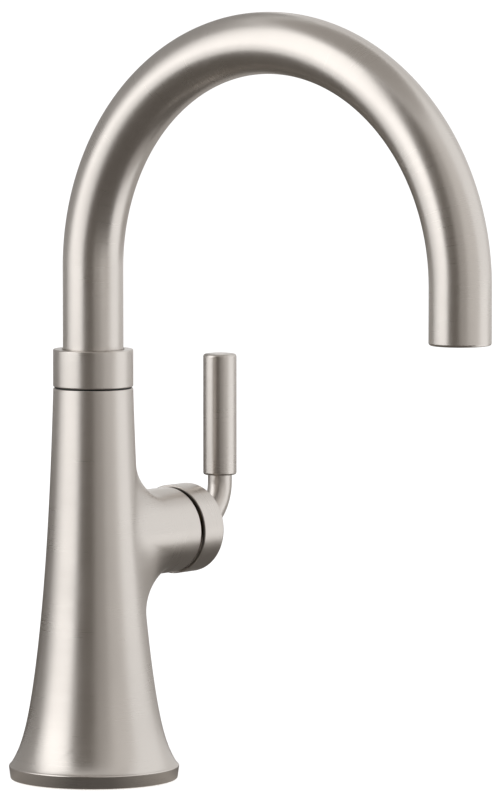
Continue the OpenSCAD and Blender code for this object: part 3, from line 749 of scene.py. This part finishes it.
def make_spout(size):
    """Gooseneck drawn as a tube: up the leg, round the arch, down over the eased outlet and back inside"""
    start_clean()
    bpy.ops.mesh.primitive_circle_add(vertices=TUBE_SIDES, radius=TUBE_R, location=(0, 0, TUBE_LOW.z))
    spout = bpy.context.object
    bpy.ops.object.mode_set(mode="EDIT")
    bpy.ops.mesh.select_mode(type="EDGE")
    bpy.ops.mesh.select_all(action="SELECT")
    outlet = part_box("outlet_insert")[0].z - size.recess
    arch = {"steps": ARCH_STEPS, "center": (0, -ARCH_R, SPRING_Z), "axis": (1, 0, 0)}
    extrude_on((0, 0, SPRING_Z - TUBE_LOW.z))
    bpy.ops.mesh.spin(angle=-math.pi, **arch)
    corner, middle = size.outlet_round, (0, -REACH, 0)
    radius = extrude_through(
        rounded(TUBE_R - corner, outlet + corner, corner, 0, -90), TUBE_R, SPRING_Z, middle)
    extrude_on((0, 0, 0), (TUBE_R - size.tube_wall) / radius, middle)
    extrude_on((0, 0, SPRING_Z - outlet))
    bpy.ops.mesh.spin(angle=math.pi, **arch)
    extrude_on((0, 0, TUBE_LOW.z - SPRING_Z))
    select_rim(spout, -FAR, FAR)
    bpy.ops.mesh.bridge_edge_loops()
    close_up()
    return settle(spout, "spout")


def thread_cutter(radius, low, high, place, pitch):
    """Helical ridge that cuts the groove of an internal thread into the wall of a hole"""
    cutter = one_point("thread_cutter")
    half, deep = pitch * THREAD_SHARE, pitch / 2 + THREAD_INSET
    bpy.ops.transform.translate(value=(radius - THREAD_INSET, 0, low))
    bpy.ops.mesh.extrude_vertices_move(TRANSFORM_OT_translate={"value": (deep, 0, half)})
    bpy.ops.mesh.extrude_vertices_move(TRANSFORM_OT_translate={"value": (-deep, 0, half)})
    bpy.ops.mesh.select_all(action="SELECT")
    bpy.ops.mesh.edge_face_add()
    bpy.ops.mesh.delete(type="ONLY_FACE")
    start_clean()
    bpy.context.view_layer.objects.active = cutter
    screw = cutter.modifiers.new("helix", "SCREW")
    screw.steps = screw.render_steps = THREAD_STEPS
    screw.screw_offset, screw.iterations = pitch, round((high - low) / pitch) - 1
    bpy.ops.object.modifier_apply(modifier=screw.name)
    bpy.ops.object.mode_set(mode="EDIT")
    parting = low + pitch * THREAD_PARTING
    for bottom, top in ((-FAR, parting), (parting, FAR)):
        select_rim(cutter, bottom, top)
        bpy.ops.mesh.edge_face_add()
    close_up()
    cutter.location = place
    return cutter


def make_insert(size):
    """Copy of the foot's insert with threads cut into its hose sockets and its stud hole"""
    insert = bpy.data.objects.new("insert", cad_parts["base_insert"].data.copy())
    bpy.context.scene.collection.objects.link(insert)
    insert.data.materials.clear()
    close_up_whole(insert)
    low, high = (corner.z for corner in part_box("base_insert"))
    for pipe in ("hot_inlet_pipe", "cold_inlet_pipe"):
        side = sum(corner.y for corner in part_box(pipe)) / 2
        cut_away(insert, thread_cutter(size.hose_radius, low - size.hose_pitch, high - size.socket_floor,
                                       (0, side, 0), size.hose_pitch))
    cut_away(insert, thread_cutter(size.stud_radius, low - size.stud_pitch, high + 2 * size.stud_pitch,
                                   (-size.stud_place, 0, 0), size.stud_pitch))
    close_up_whole(insert)
    return settle(insert, "insert", THREAD_ANGLE)


# ---- Studio ----

def glowing(name, tone, attribute=None):
    """Glow of a tone, times a mesh attribute if one is named"""
    material, shader = new_material(name)
    strength = 1.0
    if attribute:
        strength = shader.node("ShaderNodeAttribute", {"attribute_name": attribute}, output="Fac")
    glow = shader.node("ShaderNodeEmission", inputs={"Color": (*tone, 1), "Strength": strength})
    shader.node("ShaderNodeOutputMaterial", inputs=(glow,))
    return material


def polar(angle, distance, height):
    """Place at an angle to the right of the camera, seen from the faucet"""
    turn = math.radians(angle)
    return (TO_CAMERA * math.cos(turn) + TO_RIGHT * math.sin(turn)) * distance + Vector((0, 0, height))


# Cards round the faucet that only its metal sees: name, first and last angle to the right of the camera,
# near edge, far edge (distance and height in metres) and tone
CARDS = (
    ("dark_card", -37, 4, (0.9, 0.002), (3.3, 4.5), (0.150, 0.135, 0.120)),
    ("deep_grey_card", 4, 30, (0.9, 0.002), (3.3, 4.5), (0.46, 0.44, 0.42)),
    ("grey_card", 30, 70, (0.9, 0.002), (3.3, 4.5), (0.74, 0.72, 0.70)),
    ("left_rear_card", -178, -101, (3.0, 0.002), (3.3, 4.0), (0.34, 0.33, 0.32)),
    ("right_white_card", 70, 127, (3.0, 0.002), (3.3, 4.5), (1.0, 1.0, 1.0)),
    ("right_rear_card", 127, 178, (3.0, 0.002), (3.3, 4.0), (0.74, 0.73, 0.72)),
    # The cards that lie on the floor are painted shade: dark sheets that only the metal reflects, on a
    # floor that is white to the camera, so that the faucet's undersides and foot rim darken
    ("left_table_card", -112, -37, (0.075, 0.001), (0.75, 0.001), (0.13, 0.118, 0.105)),
    ("front_table_card", -37, 35, (0.075, 0.001), (0.9, 0.001), (0.12, 0.108, 0.098)),
    ("right_front_table_card", 35, 60, (0.075, 0.001), (0.9, 0.001), (0.12, 0.108, 0.098)),
    ("boss_table_card", 112, 180, (0.075, 0.001), (0.27, 0.001), (0.13, 0.12, 0.11)),
    ("right_table_card", 60, 112, (0.075, 0.001), (0.17, 0.001), (0.12, 0.11, 0.10)),
    ("right_grey_table_card", 60, 112, (0.17, 0.001), (0.30, 0.001), (0.42, 0.40, 0.38)),
    ("right_rear_table_card", 112, 180, (0.27, 0.001), (2.4, 0.001), (0.42, 0.40, 0.38)),
    ("left_rear_table_card", 180, 248, (0.075, 0.001), (2.4, 0.001), (0.13, 0.118, 0.105)),
    ("top_card", 0, 360, (0.02, 2.9), (1.6, 2.6), (0.40, 0.38, 0.36)),
)

# Columns of a card's mesh, and of the ring next to the foot
CARD_COLUMNS = 24
FOOT_COLUMNS = 180
# The ring of card next to the foot, its colour, and its tone by the angle to the right of the camera:
# painted shade of the floor round the foot, which only the metal reflects
FOOT_SHADE_CARD = ("foot_card", -112, 248, (0.034, 0.0004), (0.075, 0.001))
FOOT_SHADE_COLOUR = (1.0, 0.93, 0.86)
FOOT_SHADE_TONES = (
    (-112, 0.16), (-80, 0.30), (-45, 0.20), (-15, 0.10), (15, 0.11), (45, 0.26), (75, 0.38),
    (100, 0.20), (125, 0.11), (248, 0.12))

# Radius of the floor in metres, corners of its edge, its tone, and the glow that makes it white
FLOOR_RADIUS = 30
FLOOR_SIDES = 96
FLOOR_TONE = (0.8, 0.8, 0.8, 1)
FLOOR_GLOW = 0.62

# Soft lamps: name, angle to the right of the camera, distance, height of the middle, width, height, power,
# and whether the metal reflects it
LAMPS = (
    ("left_lamp", -66, 4.0, 3.05, 3.2, 3.7, 24.5, True),
    ("left_low_lamp", -66, 4.0, 0.60, 3.2, 1.2, 8.6, True),
    ("right_lamp", 103, 4.0, 2.8, 2.6, 3.6, 19, False),
)


def hide_card(card):
    """Leaves a card to shiny surfaces alone"""
    for ray in ("camera", "diffuse", "shadow", "transmission", "volume_scatter"):
        setattr(card, "visible_" + ray, False)


def make_card(name, first, last, near, far, material, columns=CARD_COLUMNS):
    """Curved card between two arcs, seen by shiny surfaces alone"""
    start_clean()
    bpy.ops.mesh.primitive_grid_add(x_subdivisions=columns, y_subdivisions=2, size=1)
    card = bpy.context.object
    for vertex in card.data.vertices:
        share, height = vertex.co.x + 0.5, vertex.co.y + 0.5
        distance, level = (low + (high - low) * height for low, high in zip(near, far))
        vertex.co = polar(first + (last - first) * share, distance, level)
    card.name = card.data.name = name
    card.data.materials.append(material)
    hide_card(card)
    return card


def make_foot_shade_card():
    """Ring of card next to the foot that paints the floor's shade into the metal's reflections, its tone
    changing softly round it
    """
    card = make_card(*FOOT_SHADE_CARD, glowing("foot_card_tone", FOOT_SHADE_COLOUR, "tone"), FOOT_COLUMNS)
    tones = card.data.attributes.new("tone", "FLOAT", "POINT")
    for vertex in card.data.vertices:
        along = math.degrees(math.atan2(vertex.co.dot(TO_RIGHT), vertex.co.dot(TO_CAMERA)))
        along += 360 if along < FOOT_SHADE_TONES[0][0] else 0
        for (start, low), (end, high) in zip(FOOT_SHADE_TONES, FOOT_SHADE_TONES[1:]):
            if start <= along <= end:
                tones.data[vertex.index].value = low + (high - low) * (along - start) / (end - start)


def make_floor():
    """Wide pale floor that is white to the eye and keeps a soft shadow"""
    start_clean()
    bpy.ops.mesh.primitive_circle_add(vertices=FLOOR_SIDES, radius=FLOOR_RADIUS, fill_type="NGON")
    floor = bpy.context.object
    floor.name = floor.data.name = "floor"
    material, shader = new_material("pale_floor")
    matt = shader.node("ShaderNodeBsdfDiffuse", inputs={"Color": FLOOR_TONE})
    glow = shader.node("ShaderNodeEmission", inputs={"Strength": shader.seen() * FLOOR_GLOW})
    both = shader.node("ShaderNodeAddShader", inputs=(matt, glow))
    shader.node("ShaderNodeOutputMaterial", inputs=(both,))
    floor.data.materials.append(material)


def make_world(fill):
    """White surroundings for the eye and for shiny surfaces, a softer fill for matt ones"""
    world = bpy.data.worlds.new("studio")
    world.use_nodes = True
    bpy.context.scene.world = world
    shader = Shader(world.node_tree)
    background = shader.node("ShaderNodeBackground", inputs={
        "Color": (1, 1, 1, 1), "Strength": shader.seen() * (1 - fill) + fill})
    shader.node("ShaderNodeOutputWorld", inputs=(background,))


def make_lamp(name, place, target, width, height, power, reflected):
    """Soft rectangular lamp that looks at target"""
    lamp = bpy.data.lights.new(name, "AREA")
    lamp.shape, lamp.size, lamp.size_y, lamp.energy = "RECTANGLE", width, height, power
    light = bpy.data.objects.new(name, lamp)
    light.visible_glossy = reflected
    bpy.context.scene.collection.objects.link(light)
    light.location = place
    light.rotation_euler = (Vector(target) - Vector(place)).to_track_quat("-Z", "Y").to_euler()


def make_camera(focal_length):
    """Camera where the photograph's stood"""
    lens = bpy.data.cameras.new("camera")
    lens.lens, lens.sensor_width = focal_length, SENSOR_WIDTH
    camera = bpy.data.objects.new("camera", lens)
    bpy.context.scene.collection.objects.link(camera)
    camera.location = CAMERA_PLACE
    camera.rotation_euler = (math.radians(90) + CAMERA_PITCH, 0, CAMERA_TURN)
    bpy.context.scene.camera = camera


# ---- Operators ----

class FAUCET_OT_body(bpy.types.Operator):
    """Model the flared body with its side boss and brush it"""

    bl_idname = "faucet.body"
    bl_label = "Body"

    def execute(self, context):
        finish = context.scene.faucet_finish
        body = make_body(context.scene.faucet_body)
        body.data.materials.append(
            brushed_metal("body_nickel", finish.nickel, finish.roughness, finish.brushing, path_body))
        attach(body, "body")
        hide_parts("body_shell")
        return {"FINISHED"}


class FAUCET_OT_spout(bpy.types.Operator):
    """Draw the gooseneck and brush it"""

    bl_idname = "faucet.spout"
    bl_label = "Spout"

    def execute(self, context):
        finish = context.scene.faucet_finish
        spout = make_spout(context.scene.faucet_spout)
        spout.data.materials.append(
            brushed_metal("spout_nickel", finish.nickel, finish.roughness, finish.brushing, path_tube))
        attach(spout, "spout")
        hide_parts("spout_tube")
        return {"FINISHED"}


class FAUCET_OT_grip(bpy.types.Operator):
    """Turn the lever's grip and brush it"""

    bl_idname = "faucet.grip"
    bl_label = "Grip"

    def execute(self, context):
        finish = context.scene.faucet_finish
        grip = make_grip(context.scene.faucet_grip)
        grip.data.materials.append(
            brushed_metal("grip_nickel", finish.nickel, finish.roughness, finish.brushing, path_up))
        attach(grip, "handle")
        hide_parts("grip")
        return {"FINISHED"}


class FAUCET_OT_insert(bpy.types.Operator):
    """Cut the threads of the foot's insert and finish it"""

    bl_idname = "faucet.insert"
    bl_label = "Foot Insert"

    def execute(self, context):
        insert = make_insert(context.scene.faucet_spout)
        insert.data.materials.append(
            brushed_metal("insert_brass", context.scene.faucet_finish.brass, *INSERT_BRASS, path_up))
        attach(insert, "body")
        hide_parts("base_insert")
        return {"FINISHED"}


class FAUCET_OT_nickel(bpy.types.Operator):
    """Brush the other outer metal: collar, hub and rod"""

    bl_idname = "faucet.nickel"
    bl_label = "Brushed Nickel"

    def execute(self, context):
        finish = context.scene.faucet_finish
        for name, path, nodes in (
            ("collar_nickel", path_up, ("collar",)),
            ("hub_nickel", path_out, ("hub", "lever_rod")),
        ):
            dress(brushed_metal(name, finish.nickel, finish.roughness, finish.brushing, path), *nodes)
        return {"FINISHED"}


class FAUCET_OT_inside(bpy.types.Operator):
    """Finish the parts inside: brass, copper, steel, ceramic, acetal and rubber"""

    bl_idname = "faucet.inside"
    bl_label = "Inner Parts"

    def execute(self, context):
        finish = context.scene.faucet_finish
        for name, colour, roughness, depth, path, nodes in INNER_METALS:
            dress(brushed_metal(name, getattr(finish, colour), roughness, depth, path), *nodes)
        for *settings, nodes in PLAIN_FINISHES:
            dress(plain_finish(*settings), *nodes)
        return {"FINISHED"}


class FAUCET_OT_stage(bpy.types.Operator):
    """Set up the floor, the light and the camera"""

    bl_idname = "faucet.stage"
    bl_label = "Studio"

    def execute(self, context):
        studio = context.scene.faucet_studio
        make_world(studio.fill)
        make_floor()
        for name, first, last, near, far, tone in CARDS:
            make_card(name, first, last, near, far, glowing(name, tone))
        make_foot_shade_card()
        for name, angle, distance, height, width, tall, power, reflected in LAMPS:
            make_lamp(name, polar(angle, distance, height), polar(angle, 0, height),
                      width, tall, power * studio.light, reflected)
        make_camera(studio.lens)
        context.scene.view_settings.view_transform = "Standard"
        return {"FINISHED"}


class FAUCET_PT_panel(bpy.types.Panel):
    """Lists the finishes, the studio and the steps"""

    bl_label = "Faucet"
    bl_idname = "FAUCET_PT_panel"
    bl_space_type = "VIEW_3D"
    bl_region_type = "UI"
    bl_category = "Faucet"

    def draw(self, context):
        layout = self.layout
        for group in (getattr(context.scene, name) for name in GROUPS):
            for size in group.__annotations__:
                layout.prop(group, size)
        for step in STEPS:
            layout.operator(step.bl_idname)


STEPS = (
    FAUCET_OT_stage, FAUCET_OT_body, FAUCET_OT_spout, FAUCET_OT_grip, FAUCET_OT_insert,
    FAUCET_OT_nickel, FAUCET_OT_inside)
GROUPS = {
    "faucet_finish": FaucetFinish, "faucet_body": FaucetBody, "faucet_spout": FaucetSpout,
    "faucet_grip": FaucetGrip, "faucet_studio": FaucetStudio}
CLASSES = (*GROUPS.values(), *STEPS, FAUCET_PT_panel)


def register():
    for cls in CLASSES:
        bpy.utils.register_class(cls)
    for name, group in GROUPS.items():
        setattr(bpy.types.Scene, name, PointerProperty(type=group))


def unregister():
    for name in GROUPS:
        delattr(bpy.types.Scene, name)
    for cls in reversed(CLASSES):
        bpy.utils.unregister_class(cls)


def main():
    register()
    bpy.ops.faucet.stage()
    bpy.ops.faucet.body()
    bpy.ops.faucet.spout()
    bpy.ops.faucet.grip()
    bpy.ops.faucet.insert()
    bpy.ops.faucet.nickel()
    bpy.ops.faucet.inside()
    bpy.context.view_layer.update()


if __name__ == "__main__":
    main()
